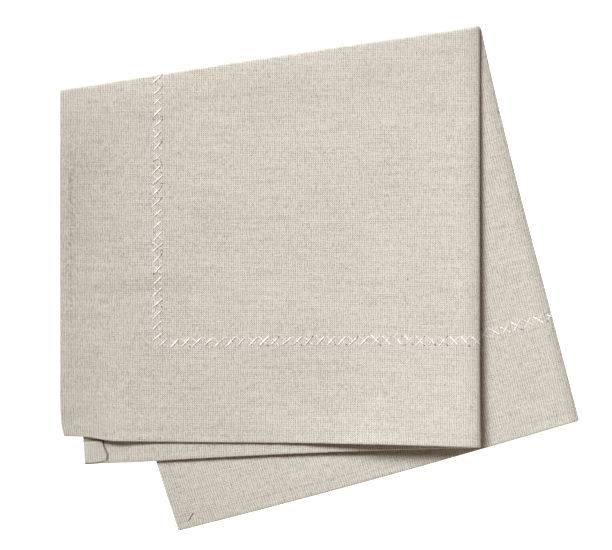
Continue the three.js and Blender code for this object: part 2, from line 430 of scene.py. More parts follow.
def air_under(name, x, y):
    """Air under the named layer at a plan place."""
    gap = GAPS[name]
    layer = LAYERS[name]
    from_fold = np.maximum(inset(APEX, layer["fold_end"], x, y), 0)
    from_crease = np.maximum(inset(layer["crease_foot"], APEX, x, y), 0)
    from_side = inset(layer["fold_end"], layer["hem_corner"], x, y)
    from_foot = inset(layer["hem_corner"], layer["crease_foot"], x, y)
    from_hem = np.maximum(np.minimum(from_side, from_foot), 0)
    down_crease = np.clip(from_fold / HALF_SIDE, 0, 1)
    return (
        gap["field"]
        + gap["fold"] * np.exp(-from_fold / FOLD_REACH)
        + lerp(*gap["crease"], down_crease) * np.exp(-from_crease / gap["crease_reach"])
        - lerp(*gap["roll"], down_crease) * np.exp(-from_crease / ROLL_REACH)
        + gap["hem"] * np.exp(-from_hem / HEM_REACH))


def layer_heights(x, y):
    """Heights of the four layers' middles at a plan place, each one laid on the one under it."""
    bottom = np.full_like(x, LAYER_STEP / 2)
    third = bottom + LAYER_STEP + air_under("third", x, y)
    laid = third + LAYER_STEP + air_under("second", x, y)
    hem = LAYERS["third"]
    past_hem = -inset(hem["fold_end"], hem["hem_corner"], x, y) - hem["side_bow"]
    second = lerp(laid, LAYER_STEP / 2 + SINK_CLEARANCE, smooth_step(past_hem, 0, SINK_RUN))
    top = second + LAYER_STEP + air_under("top", x, y)
    return {"top": top, "second": second, "third": third, "bottom": bottom}


def hem_lift(name, across, along):
    """How far up a layer's foot hem stands at a place on it. The top layer rides on the second."""
    lifts = HEM_LIFTS.get(name, ())
    if name == "top":
        lifts = lifts + HEM_LIFTS["second"]
    from_crease = across * HALF_SIDE
    from_hem = (1 - along) * HALF_SIDE
    return sum(
        height * np.exp(-((from_crease - middle) / spread) ** 2 - from_hem / LIFT_REACH)
        for middle, spread, height in lifts)


def crease_radius(place):
    """Half the height between the two layers that the crease joins, at a plan place."""
    heights = layer_heights(*np.array(place, float).reshape(2, 1))
    return float(heights["top"][0] - heights["second"][0]) / 2


APEX_RADIUS = crease_radius(APEX)
FOOT_RADIUS = crease_radius(UPPER_CREASE_FOOT)


def layer_shares(u, v):
    """Each layer's share in a place on the cloth, with the place across and along the layers."""
    radius = lerp(APEX_RADIUS, FOOT_RADIUS, np.abs(v) / HALF_SIDE)
    crease_inset, crease_turn = round_bend(u, radius)
    half = LAYER_STEP / 2
    across = (crease_inset + half) / (round_bend(HALF_SIDE, radius)[0] + half)
    outer = (1 - crease_turn) / 2

    fold_x = lerp(APEX[0], OUTER_FOLD_END[0], across)
    fold_y = lerp(APEX[1], OUTER_FOLD_END[1], across)
    heights = layer_heights(fold_x, fold_y)
    outer_radius = (heights["top"] - heights["bottom"]) / 2
    inner_radius = (heights["second"] - heights["third"]) / 2
    radius = lerp(inner_radius, outer_radius, outer)
    squash = lerp(1.0, FOLD_SQUASH, outer)
    fold_inset, fold_turn = round_bend(v, radius, squash)
    within = outer_radius - radius + half
    along = (fold_inset + within) / (round_bend(HALF_SIDE, radius, squash)[0] + within)
    upper = (1 - fold_turn) / 2
    shares = {
        "top": upper * outer,
        "second": upper * (1 - outer),
        "third": (1 - upper) * (1 - outer),
        "bottom": (1 - upper) * outer,
    }
    return shares, across, along


def cloth_middle(u, v):
    """Points of the cloth's middle surface, without its relief."""
    shares, across, along = layer_shares(u, v)
    total = 0
    for name, share in shares.items():
        x, y = plan_place(LAYERS[name], across, along)
        z = layer_heights(x, y)[name] + hem_lift(name, across, along)
        total = total + share[..., None] * np.stack([x, y, z], axis=-1)
    return total


def crease_on_flat(v):
    """Where the crease lies on the opened cloth."""
    foot = np.where(v < 0, CREASE_AT_FOOT["upper"], CREASE_AT_FOOT["lower"])
    return lerp(CREASE_AT_FOLD, foot, np.abs(v) / HALF_SIDE)


def fold_on_flat(u):
    """Where the second fold lies on the opened cloth."""
    side = np.where(u < 0, FOLD_AT_SIDE["outer"], FOLD_AT_SIDE["inner"])
    return lerp(FOLD_AT_CREASE, side, np.abs(u) / HALF_SIDE)


def flat_place(u, v):
    """The place on the opened cloth."""
    crease = crease_on_flat(v)
    fold = fold_on_flat(u)
    flat_u = crease + u / HALF_SIDE * (HALF_SIDE - np.sign(u) * crease)
    flat_v = fold + v / HALF_SIDE * (HALF_SIDE - np.sign(v) * fold)
    return flat_u, flat_v


def param_place(flat_u, flat_v):
    """The u and v of a place on the opened cloth. The crease and fold lines lean only a little, so
    a few rounds settle it."""
    v = flat_v
    for _ in range(8):
        crease = crease_on_flat(v)
        from_crease = flat_u - crease
        u = HALF_SIDE * from_crease / (HALF_SIDE - np.sign(from_crease) * crease)
        fold = fold_on_flat(u)
        from_fold = flat_v - fold
        v = HALF_SIDE * from_fold / (HALF_SIDE - np.sign(from_fold) * fold)
    return u, v


def pressed_relief(x, y):
    """Height of the marks pressed into the top layer at a plan place."""
    total = 0
    for (x0, y0), (x1, y1), half_width, height in PRESSED_MARKS:
        length = math.hypot(x1 - x0, y1 - y0)
        share = np.clip(((x - x0) * (x1 - x0) + (y - y0) * (y1 - y0)) / length ** 2, 0, 1)
        away = np.hypot(x - lerp(x0, x1, share), y - lerp(y0, y1, share))
        total = total + height * np.exp(-(away / half_width) ** 2)
    return total


def edge_distances(flat_u, flat_v):
    """Distances from the side hem's edge and from the foot hem's edge."""
    return HALF_SIDE - np.abs(flat_u), HALF_SIDE - np.abs(flat_v)


def hem_ripple(flat_u, flat_v):
    """Height of the small waves that the stitching draws into the hems."""
    from_side, from_foot = edge_distances(flat_u, flat_v)
    short, drift, long = RIPPLE_RUNS
    total = 0
    for from_edge, along in ((from_side, flat_v), (from_foot, flat_u)):
        wave = np.sin(along / short + 0.9 * np.sin(along / drift)) + 0.6 * np.sin(along / long + 1.0)
        total = total + RIPPLE_HEIGHT * wave * np.exp(-(from_edge / RIPPLE_REACH) ** 2)
    return total


def soft_waves(x, y):
    """Slow unevenness of the whole stack at a plan place."""
    total = 0
    for length, degrees, height, phase in SOFT_WAVES:
        turn = math.radians(degrees)
        run = x * math.cos(turn) + y * math.sin(turn)
        total = total + height * np.sin(2 * math.pi * run / length + math.radians(phase))
    return total


def relief(u, v):
    """Height of the cloth's unevenness above its smooth folded shape."""
    shares, across, along = layer_shares(u, v)
    total = hem_ripple(*flat_place(u, v))
    for name, share in shares.items():
        x, y = plan_place(LAYERS[name], across, along)
        faces_up = FACE_UP[name] * WAVE_SHARE[name]
        total = total + share * faces_up * soft_waves(x, y)
        if name == "top":
            total = total + share * pressed_relief(x, y)
    return total


def cloth_surface(u, v, height):
    """Points at a height from the cloth's middle, towards its face, and the ways its face looks."""
    along_u = cloth_middle(u + SLOPE_STEP, v) - cloth_middle(u - SLOPE_STEP, v)
    along_v = cloth_middle(u, v + SLOPE_STEP) - cloth_middle(u, v - SLOPE_STEP)
    normal = np.cross(along_u, along_v)
    normal = normal / np.linalg.norm(normal, axis=-1, keepdims=True)
    points = cloth_middle(u, v) + normal * (relief(u, v) + height)[..., None]
    points[..., 2] = np.maximum(points[..., 2], 0)
    return points, normal


def mesh_object(name, points, faces, material):
    """A smooth mesh object from points in millimetres, riding on the part."""
    mesh = bpy.data.meshes.new(name)
    mesh.from_pydata((np.asarray(points).reshape(-1, 3) * MM).tolist(), [], faces)
    mesh.polygons.foreach_set("use_smooth", [True] * len(mesh.polygons))
    mesh.materials.append(material)
    made = bpy.data.objects.new(name, mesh)
    bpy.context.collection.objects.link(made)
    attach(made, "root")
    return made


def set_uv(made, name, places):
    """A UV map from one place for each corner of each face."""
    layer = made.data.uv_layers.new(name=name)
    layer.uv.foreach_set("vector", np.asarray(places, np.float32).ravel())


def set_point_value(made, name, values):
    """A number on each point of a mesh, for its material."""
    attribute = made.data.attributes.new(name, "FLOAT", "POINT")
    attribute.data.foreach_set("value", np.asarray(values, np.float32).ravel())


def half_lines(span):
    """Mesh lines from a fold to a hem, where the opened cloth between them is span wide."""
    hem = [HALF_SIDE * (1 - distance / span) for distance in HEM_LINES]
    field = [
        lerp(BEND_LINES[-1], hem[0], step / FIELD_LINES)
        for step in range(1, FIELD_LINES)
    ]
    bend = [np.full_like(span, distance) for distance in BEND_LINES[1:]]
    return np.stack([*bend, *field, *hem])


def cloth_grid():
    """The u and v of every crossing of the mesh lines, as two square arrays."""
    even = half_lines(np.array(HALF_SIDE))
    line_u = np.concatenate([-even[::-1], [0.0], even])
    fold = fold_on_flat(line_u)
    v = np.concatenate([
        -half_lines(HALF_SIDE + fold)[::-1],
        np.zeros((1, len(line_u))),
        half_lines(HALF_SIDE - fold)])
    crease = crease_on_flat(v[:, 0])
    u = np.concatenate([
        -half_lines(HALF_SIDE + crease)[::-1],
        np.zeros((1, len(crease))),
        half_lines(HALF_SIDE - crease)]).T
    return u, v


def hem_profile(flat_u, flat_v, cloth):
    """Heights of the face and of the wrong side from the cloth's middle, and the shade in the
    crevices along the hem's inner edge on the wrong side."""
    thickness = cloth.thickness / MM
    width = cloth.hem_width / MM
    added = cloth.hem_thickness / MM
    from_side, from_foot = edge_distances(flat_u, flat_v)
    waver, run = SIDE_WAVER
    bulge, middle, spread = CORNER_BULGE
    cut, cut_reach = CORNER_CUT
    side_width = width + waver * np.sin(flat_v / run)
    side_width = side_width + bulge * np.exp(-((from_foot - middle) / spread) ** 2)
    side_width = side_width - cut * smooth_step(-from_foot, -cut_reach, 0.0)
    waver, run = FOOT_WAVER
    foot_width = width + FOOT_EXTRA + waver * np.sin(flat_u / run + 1.0)
    past_side = from_side - side_width
    past_foot = from_foot - foot_width
    side = 1 - smooth_step(past_side, -HEM_STEP, HEM_STEP)
    foot = 1 - smooth_step(past_foot, -HEM_STEP, HEM_STEP)
    extra = added * foot * (1 - 0.2 * side) + added * side
    crevice_shade = np.maximum(
        np.exp(-((past_side - 0.4) / 0.5) ** 2), np.exp(-((past_foot - 0.35) / 0.4) ** 2))
    # Painted shade under the edge of the turned corner, along the foot
    crevice_shade = np.maximum(crevice_shade, 0.8 * side * np.exp(-(from_foot / 0.8) ** 2))

    half = (thickness + extra) / 2
    from_edge = np.minimum(from_side, from_foot)
    short = np.clip(1 - from_edge / EDGE_ROUND, 0, 1)
    rounded = 0.12 + 0.88 * np.sqrt(1 - short ** 2)
    face = thickness / 2 - half + half * rounded
    wrong = thickness / 2 - half - half * rounded
    return face, wrong, crevice_shade


def hem_pull(flat_u, flat_v):
    """How tightly the stitching draws up the hem: most in a stretch of the top layer's side hem."""
    from_side, from_foot = edge_distances(flat_u, flat_v)
    along = np.abs(flat_v)
    start, end = TIGHT_RUN
    tight = smooth_step(along, *start) * (1 - smooth_step(along, *end))
    return HEM_PULL + TIGHT_PULL * np.where((flat_u < 0) & (from_side < from_foot), tight, 0.0)


def stitch_groove(flat_u, flat_v, stitch):
    """How deep a place lies in the groove that the hem stitching pulls, from 0 to 1."""
    line = stitch.hem_inset / MM
    groove = np.maximum(*(
        np.exp(-((from_edge - line) / GROOVE_WIDTH) ** 2)
        for from_edge in edge_distances(flat_u, flat_v)))
    return groove * hem_pull(flat_u, flat_v)


def pucker_shade_band(flat_u, flat_v):
    """How strongly the painted shade of the stitching's puckers shows."""
    middle, spread = PUCKER_SHADE_BAND
    from_edge = np.minimum(*edge_distances(flat_u, flat_v))
    return np.exp(-((from_edge - middle) / spread) ** 2) * hem_pull(flat_u, flat_v)


def painted_light_tone(u, v):
    """Share by which painted light and shade change the tone: a painted highlight along the top
    layer's fold, more so towards the left, painted shade at its side hem, and painted shade along
    the creases."""
    flat_u, flat_v = flat_place(u, v)
    from_side = edge_distances(flat_u, flat_v)[0]
    from_fold = np.abs(flat_v - flat_place(u, np.zeros_like(v))[1])
    from_crease = np.abs(flat_u - flat_place(np.zeros_like(u), v)[0])
    pale = FOLD_HIGHLIGHT["share"] * np.sqrt(np.clip(-flat_u / FOLD_HIGHLIGHT["full_at"], 0, 1))
    pale = pale * (1 - smooth_step(from_fold, *FOLD_HIGHLIGHT["fade"]))
    pale = pale * smooth_step(from_fold, *FOLD_HIGHLIGHT["rise"])
    grey = SIDE_SHADE["share"] * (1 - smooth_step(from_side, *SIDE_SHADE["fade"]))
    grey = grey * smooth_step(from_fold, *SIDE_SHADE["rise"])
    grey = grey * (1 - SIDE_SHADE["ease"] * smooth_step(from_fold, *SIDE_SHADE["eased"]))
    upper, lower = (
        share * (1 - smooth_step(from_crease, start, end)) for share, start, end in CREASE_SHADE)
    return np.where(u < 0, pale - grey, 0.0) - np.where(v < 0, upper, lower)


def weave_strength(flat_u, flat_v):
    """How strongly the single threads stand out: most by the top layer's side hem, least where the
    field is pressed flat."""
    from_side = edge_distances(flat_u, flat_v)[0]
    loose = LOOSE_WEAVE * (1 - smooth_step(from_side, *LOOSE_FADE))
    return PRESSED_WEAVE + np.where(flat_u < 0, loose, 0.0)


def woven_linen(cloth):
    """Undyed linen, plain woven from uneven flax yarn, washed and pressed. It is matt, with a fine
    grid of rounded threads, thick and thin yarns that show as streaks both ways, and a few flecks
    of straw."""
    material = bpy.data.materials.new("undyed linen, plain woven")
    material.use_nodes = True
    tree = material.node_tree
    tree.nodes.clear()
    place = add(tree, "ShaderNodeUVMap", uv_map="flat_cloth")

    # The real threads are about 0.4 mm apart, which is under a pixel, so they are drawn about three
    # times as coarse to show as threads.
    wander = add(
        tree, "ShaderNodeTexNoise", {"Vector": place, "Scale": 1 / (5 * MM), "Detail": 2.0}, "Color",
        noise_dimensions="2D")
    wander = add(
        tree, "ShaderNodeVectorMath", {0: wander, 1: (0.5, 0.5, 0.5)}, operation="SUBTRACT")
    wander = add(
        tree, "ShaderNodeVectorMath", {0: wander, "Scale": 0.9 * MM}, operation="SCALE")
    thread_place = add(tree, "ShaderNodeVectorMath", {0: place, 1: wander}, operation="ADD")
    # The crowns of the threads, and over and under: at every second crossing, about 0.6 mm on, the
    # other thread is on top.
    waves = []
    for axis, spacing in (
            (0, cloth.warp_spacing), (1, cloth.weft_spacing), (0, 0.625 * MM), (1, 0.625 * MM)):
        run = add(tree, "ShaderNodeSeparateXYZ", {0: thread_place}, axis)
        turn = add(tree, "ShaderNodeMath", {0: run, 1: math.pi / spacing}, operation="MULTIPLY")
        waves.append(add(tree, "ShaderNodeMath", {0: turn}, operation="SINE"))
    warp_crown = add(tree, "ShaderNodeMath", {0: waves[0]}, operation="ABSOLUTE")
    weft_crown = add(tree, "ShaderNodeMath", {0: waves[1]}, operation="ABSOLUTE")
    crown = add(tree, "ShaderNodeMath", {0: warp_crown, 1: weft_crown}, operation="MULTIPLY")
    check = add(tree, "ShaderNodeMath", {0: waves[2], 1: waves[3]}, operation="MULTIPLY")

    # Thick and thin yarns: a warp thread keeps its tone for about 9 mm, a weft thread for 32 mm.
    # Dashes: short lengths of single threads, half as wide, stand out lighter or darker.
    streaks = []
    for wide, high, detail in (
            (cloth.warp_spacing, 9 * MM, 3.0), (32 * MM, cloth.weft_spacing, 3.0),
            (0.6 * MM, 3.5 * MM, 2.0), (4.5 * MM, 0.6 * MM, 2.0)):
        streak_place = add(
            tree, "ShaderNodeVectorMath", {0: place, 1: (1 / wide, 1 / high, 1.0)},
            operation="MULTIPLY")
        streaks.append(add(
            tree, "ShaderNodeTexNoise", {"Vector": streak_place, "Scale": 1.0, "Detail": detail},
            noise_dimensions="2D"))
    warp_yarn, weft_yarn, warp_dash, weft_dash = streaks
    # Each crossing of the real threads has its own tone, in cells of 0.5 mm.
    cell = add(tree, "ShaderNodeVectorMath", {0: place, 1: (0.5 * MM,) * 3}, operation="SNAP")
    crossing = add(tree, "ShaderNodeTexWhiteNoise", {"Vector": cell}, noise_dimensions="2D")
    # Slubs and fuzz of about 1 mm, and cloudy tone over about 60 mm.
    slub = add(
        tree, "ShaderNodeTexNoise", {"Vector": place, "Scale": 1 / (1.1 * MM), "Detail": 2.0},
        noise_dimensions="2D")
    cloud = add(
        tree, "ShaderNodeTexNoise", {"Vector": place, "Scale": 1 / (60 * MM), "Detail": 2.0},
        noise_dimensions="2D")

    # The noises are taken from their middle, so that they don't change the mean tone.
    even = ((warp_crown, 0.62), (weft_crown, 0.22), (check, 0.4))
    noises = (
        (warp_yarn, 0.3), (weft_yarn, 0.58), (warp_dash, 0.7), (weft_dash, 0.5), (slub, 0.1),
        (crossing, 0.5), (cloud, 0.15))
    tone = WEAVE_BASE - sum(share for _, share in noises) / 2
    for part, share in (*even, *noises):
        tone = add(tree, "ShaderNodeMath", {0: part, 1: share, 2: tone}, operation="MULTIPLY_ADD")
    strength = add(tree, "ShaderNodeAttribute", None, "Fac", attribute_name="weave")
    tone = add(tree, "ShaderNodeMath", {0: tone, 1: WEAVE_MIDDLE}, operation="SUBTRACT")
    tone = add(tree, "ShaderNodeMath", {0: tone, 1: strength, 2: WEAVE_MIDDLE}, operation="MULTIPLY_ADD")
    colour = add(
        tree, "ShaderNodeMix",
        {0: tone, 6: opaque(cloth.hollow_colour), 7: opaque(cloth.crown_colour)}, 2,
        data_type="RGBA")

    # Flax takes the light a little pinker or greener from patch to patch of about 22 mm.
    tint = add(
        tree, "ShaderNodeTexNoise", {"Vector": place, "Scale": 1 / (22 * MM), "Detail": 5.0},
        noise_dimensions="2D")
    tint = add(
        tree, "ShaderNodeMix",
        {0: tint, 6: (1.025, 0.978, 1.0, 1.0), 7: (0.975, 1.022, 1.0, 1.0)}, 2, data_type="RGBA")
    colour = add(tree, "ShaderNodeVectorMath", {0: colour, 1: tint}, operation="MULTIPLY")

    # Painted highlight and shade: bands of the cloth are paler or darker.
    wear_and_painted_light = add(tree, "ShaderNodeAttribute", None, "Fac", attribute_name="wear_and_painted_light")
    wear_and_painted_light = add(tree, "ShaderNodeMath", {0: wear_and_painted_light, 1: 1.0}, operation="ADD")
    colour = add(tree, "ShaderNodeVectorMath", {0: colour, "Scale": wear_and_painted_light}, operation="SCALE")

    # Flecks of straw about 0.6 mm across, in a fifth of the 5 mm cells.
    cells = {"Vector": place, "Scale": 1 / (5 * MM)}
    fleck_away = add(
        tree, "ShaderNodeTexVoronoi", cells, "Distance", voronoi_dimensions="2D")
    fleck_cell = add(tree, "ShaderNodeTexVoronoi", cells, "Color", voronoi_dimensions="2D")
    fleck_pick = add(tree, "ShaderNodeSeparateColor", {0: fleck_cell}, 0)
    fleck_size = add(
        tree, "ShaderNodeMapRange", {0: fleck_pick, 1: 0.8, 2: 1.0, 3: 0.0, 4: 0.09})
    fleck = add(tree, "ShaderNodeMath", {0: fleck_away, 1: fleck_size}, operation="LESS_THAN")
    fleck_part = add(tree, "ShaderNodeMath", {0: fleck, 1: 0.6}, operation="MULTIPLY")
    colour = add(
        tree, "ShaderNodeMix", {0: fleck_part, 6: colour, 7: opaque(cloth.fleck_colour)}, 2,
        data_type="RGBA")
    # Painted shade of the puckers that the stitching draws up in the turned hem, about 2 mm across.
    pull = add(tree, "ShaderNodeAttribute", None, "Fac", attribute_name="pucker_shade")
    pucker_shade = add(
        tree, "ShaderNodeTexNoise", {"Vector": place, "Scale": 1 / (2 * MM), "Detail": 3.0},
        noise_dimensions="2D")
    pucker_shade = add(tree, "ShaderNodeMapRange", {0: pucker_shade, 1: 0.52, 2: 0.66, 3: 0.0, 4: 1.0})
    pucker_shade = add(tree, "ShaderNodeMath", {0: pucker_shade, 1: pull}, operation="MULTIPLY")
    colour = add(
        tree, "ShaderNodeMix", {0: pucker_shade, 6: colour, 7: opaque(cloth.hollow_colour)}, 2,
        data_type="RGBA")
    # Painted shade in the hem's crevices and in the stitching's groove.
    shade = add(tree, "ShaderNodeAttribute", None, "Fac", attribute_name="crevice_shade")
    shade_part = add(tree, "ShaderNodeMath", {0: shade, 1: 0.95}, operation="MULTIPLY")
    colour = add(
        tree, "ShaderNodeMix", {0: shade_part, 6: colour, 7: opaque(linear("#3f382f"))}, 2,
        data_type="RGBA")

    height = add(tree, "ShaderNodeMath", {0: slub, 1: 0.4, 2: crown}, operation="MULTIPLY_ADD")
    bump = add(
        tree, "ShaderNodeBump", {"Strength": 0.5, "Distance": 0.12 * MM, "Height": height})
    surface = add(
        tree, "ShaderNodeBsdfPrincipled",
        {
            "Base Color": colour, "Roughness": 0.92, "IOR": 1.53, "Specular IOR Level": 0.25,
            "Sheen Weight": 0.08, "Sheen Roughness": 0.6, "Normal": bump,
        })
    add(tree, "ShaderNodeOutputMaterial", {"Surface": surface})
    return material


def twisted_thread(name, colour, roughness, sheen):
    """Cotton thread spun from two plies. It is rounder and brighter than the linen, with a soft
    lustre and slanting shade lines where the plies meet."""
    material = bpy.data.materials.new(name)
    material.use_nodes = True
    tree = material.node_tree
    tree.nodes.clear()
    place = add(tree, "ShaderNodeUVMap", uv_map="thread_length")
    # The plies make a full turn every 1.6 mm, and u goes once round the thread.
    ply_place = add(
        tree, "ShaderNodeVectorMath", {0: place, 1: (2 * math.pi, 2 * math.pi / (1.6 * MM), 0.0)},
        operation="MULTIPLY")
    turn = add(
        tree, "ShaderNodeVectorMath", {0: ply_place, 1: (1.0, 1.0, 0.0)}, "Value",
        operation="DOT_PRODUCT")
    ply = add(tree, "ShaderNodeMath", {0: turn}, operation="SINE")
    groove = add(tree, "ShaderNodeMath", {0: ply}, operation="ABSOLUTE")
    crown = add(tree, "ShaderNodeMath", {0: groove, 1: 0.5}, operation="POWER")
    tone = add(tree, "ShaderNodeAttribute", None, "Fac", attribute_name="thread_tone")
    shade = add(tree, "ShaderNodeMath", {0: crown, 1: 0.14, 2: 0.86}, operation="MULTIPLY_ADD")
    light = add(tree, "ShaderNodeMath", {0: shade, 1: tone}, operation="MULTIPLY")
    colour = add(
        tree, "ShaderNodeVectorMath", {0: tuple(colour), "Scale": light}, operation="SCALE")
    bump = add(
        tree, "ShaderNodeBump", {"Strength": 0.6, "Distance": 0.08 * MM, "Height": crown})
    surface = add(
        tree, "ShaderNodeBsdfPrincipled",
        {
            "Base Color": colour, "Roughness": roughness, "IOR": 1.53, "Sheen Weight": sheen,
            "Sheen Roughness": 0.4, "Normal": bump,
        })
    add(tree, "ShaderNodeOutputMaterial", {"Surface": surface})
    return material


def painted_floor(colour):
    """Matt white studio paint, rolled on: even, with no gloss."""
    material = bpy.data.materials.new("matt white paint, rolled")
    material.use_nodes = True
    shader = material.node_tree.nodes["Principled BSDF"]
    shader.inputs["Base Color"].default_value = opaque(colour)
    shader.inputs["Roughness"].default_value = 0.95
    shader.inputs["Specular IOR Level"].default_value = 0.1
    shader.inputs["Emission Color"].default_value = opaque(GLOW_COLOUR)
    shader.inputs["Emission Strength"].default_value = GLOW_STRENGTH
    # Only the key light is aimed at by shadow rays; the even glow of floor and room reaches the cloth
    # on the bounced ones, which leaves far less grain.
    material.cycles.emission_sampling = "NONE"
    return material


class NAPKIN_OT_make_cloth(bpy.types.Operator):
    """Make the folded linen cloth with its turned hem"""

    bl_idname = "napkin.make_cloth"
    bl_label = "Make Cloth"
    bl_options = {"REGISTER", "UNDO"}

    def execute(self, context):
        cloth = context.scene.napkin_cloth
        u, v = cloth_grid()
        flat_u, flat_v = flat_place(u, v)
        face_height, wrong_height, crevice_shade = hem_profile(flat_u, flat_v, cloth)
        groove = stitch_groove(flat_u, flat_v, context.scene.napkin_stitch)
        face_points = cloth_surface(u, v, face_height - FACE_GROOVE * groove)[0]
        wrong_points = cloth_surface(u, v, wrong_height + WRONG_GROOVE * groove)[0]
        points = np.concatenate([face_points.reshape(-1, 3), wrong_points.reshape(-1, 3)])

        faces, corners = self.faces_and_corners(len(u))
        made = mesh_object("linen_cloth", points, faces, woven_linen(cloth))
        flat = np.stack([flat_u.ravel(), flat_v.ravel()], axis=-1)
        self.lay_out(made, flat, corners)
        both_sides = {
            # Painted shade in the stitching's groove, and on the wrong side in the hem's crevices
            "crevice_shade": (0.08 * groove, np.maximum(crevice_shade, 0.15 * groove)),
            # Painted shade of the hem's puckers
            "pucker_shade": (pucker_shade_band(flat_u, flat_v),) * 2,
            "weave": (weave_strength(flat_u, flat_v),) * 2,
            # Painted highlight along the fold, and painted shade at the side hem and along the creases
            "wear_and_painted_light": (painted_light_tone(u, v),) * 2,
        }
        for name, values in both_sides.items():
            set_point_value(made, name, np.stack(values))
        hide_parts(CLOTH_NODE)
        return {"FINISHED"}

    def faces_and_corners(self, lines):
        """Quads of the face, the wrong side and the rim, and for each corner its grid place, the
        side it is laid out with, and how far it is pushed out past the edge."""
        last = lines - 1
        row, column = np.meshgrid(np.arange(last), np.arange(last), indexing="ij")
        here = (row * lines + column).ravel()
        face = np.stack([here, here + 1, here + lines + 1, here + lines], axis=-1)
        wrong = face[:, ::-1] + lines * lines
        step = np.arange(last)
        edges = (
            (step, step + 1),
            (step * lines + last, (step + 1) * lines + last),
            (last * lines + step + 1, last * lines + step),
            ((step + 1) * lines, step * lines),
        )
        rim = np.concatenate([
            np.stack([start + lines * lines, end + lines * lines, end, start], axis=-1)
            for start, end in edges])
        faces = np.concatenate([face, wrong, rim])
        side = np.concatenate([
            np.zeros(face.size), np.ones(wrong.size), np.zeros(rim.size)])
        pushed = np.concatenate([
            np.zeros(face.size + wrong.size), np.tile([1.0, 1.0, 0.0, 0.0], len(rim))])
        return faces.tolist(), (faces.ravel() % (lines * lines), side, pushed)

    def lay_out(self, made, flat, corners):
        """The weave's places on the opened cloth in metres, and one sheet with both sides apart."""
        place, side, pushed = corners
        rim_width = 1.0
        at = flat[place]
        outward = np.where(np.abs(at) > HALF_SIDE - 0.001, np.sign(at), 0)
        at = at + outward * pushed[:, None] * rim_width
        set_uv(made, "flat_cloth", at * MM)
        share = (at + HALF_SIDE + 3 * rim_width) / (2 * HALF_SIDE + 6 * rim_width)
        share[:, 0] = 0.5 * (share[:, 0] + side)
        set_uv(made, "OFBake", share)


def thread_object(name, starts, ends, look, material):
    """Short stitches on the cloth, from flat place to flat place, as one mesh of closed threads.

    look holds, for all stitches or each of them: side (1 on the face, -1 on the wrong side),
    surface (height of the cloth's own surface), radius, rise above the surface, dip of the ends into
    it, tone, lumps (changes of the radius), and the counts of rings and sides.
    """
    count = len(starts)
    rings = look["rings"]
    sides = look["sides"]
    share = np.linspace(0, 1, rings)
    flat = lerp(starts[:, None, :], ends[:, None, :], share[None, :, None])
    arch = np.sin(math.pi * share) ** 0.5
    each = {
        key: np.broadcast_to(np.asarray(look[key], float), (count,))[:, None]
        for key in ("side", "radius", "rise", "dip", "surface")
    }
    height = each["surface"] + lerp(-each["dip"], each["rise"], arch[None, :])
    u, v = param_place(flat[..., 0], flat[..., 1])
    middle, normal = cloth_surface(u, v, each["side"] * height)
    normal = normal * each["side"][..., None]
    along = np.gradient(middle, axis=1)
    across = np.cross(along, normal)
    across = across / np.linalg.norm(across, axis=-1, keepdims=True)
    up = np.cross(across, along)
    up = up / np.linalg.norm(up, axis=-1, keepdims=True)
    radius = each["radius"] * lerp(THREAD_END, 1.0, arch[None, :]) * look["lumps"]

    angle = 2 * math.pi * np.arange(sides) / sides
    ring = (
        across[:, :, None, :] * np.cos(angle)[None, None, :, None]
        + up[:, :, None, :] * THREAD_FLATNESS * np.sin(angle)[None, None, :, None])
    points = middle[:, :, None, :] + ring * radius[:, :, None, None]
    points[..., 2] = np.maximum(points[..., 2], 0)

    i, k = np.meshgrid(np.arange(rings - 1), np.arange(sides), indexing="ij")
    after = (k + 1) % sides
    quads = np.stack(
        [i * sides + k, (i + 1) * sides + k, (i + 1) * sides + after, i * sides + after], axis=-1)
    quads = quads.reshape(-1, 4)
    first = np.arange(sides)
    last = (rings - 1) * sides + np.arange(sides)[::-1]
    places = np.stack([
        np.stack([k, k, k + 1, k + 1], axis=-1) / sides,
        np.stack([i, i + 1, i + 1, i], axis=-1) / (rings - 1)], axis=-1).reshape(-1, 2)
    length = np.linalg.norm(np.diff(middle, axis=1), axis=-1).sum(axis=1) * MM
    faces = []
    uv = []
    for stitch in range(count):
        base = stitch * rings * sides
        faces += (quads + base).tolist()
        faces += [(first + base).tolist(), (last + base).tolist()]
        uv.append(places * (1.0, length[stitch]))
        uv.append(np.zeros((2 * sides, 2)))
    made = mesh_object(name, points, faces, material)
    set_uv(made, "thread_length", np.concatenate(uv))
    tone = np.broadcast_to(look["tone"], (count, rings))
    set_point_value(made, "thread_tone", np.repeat(tone.ravel(), sides))
    return made


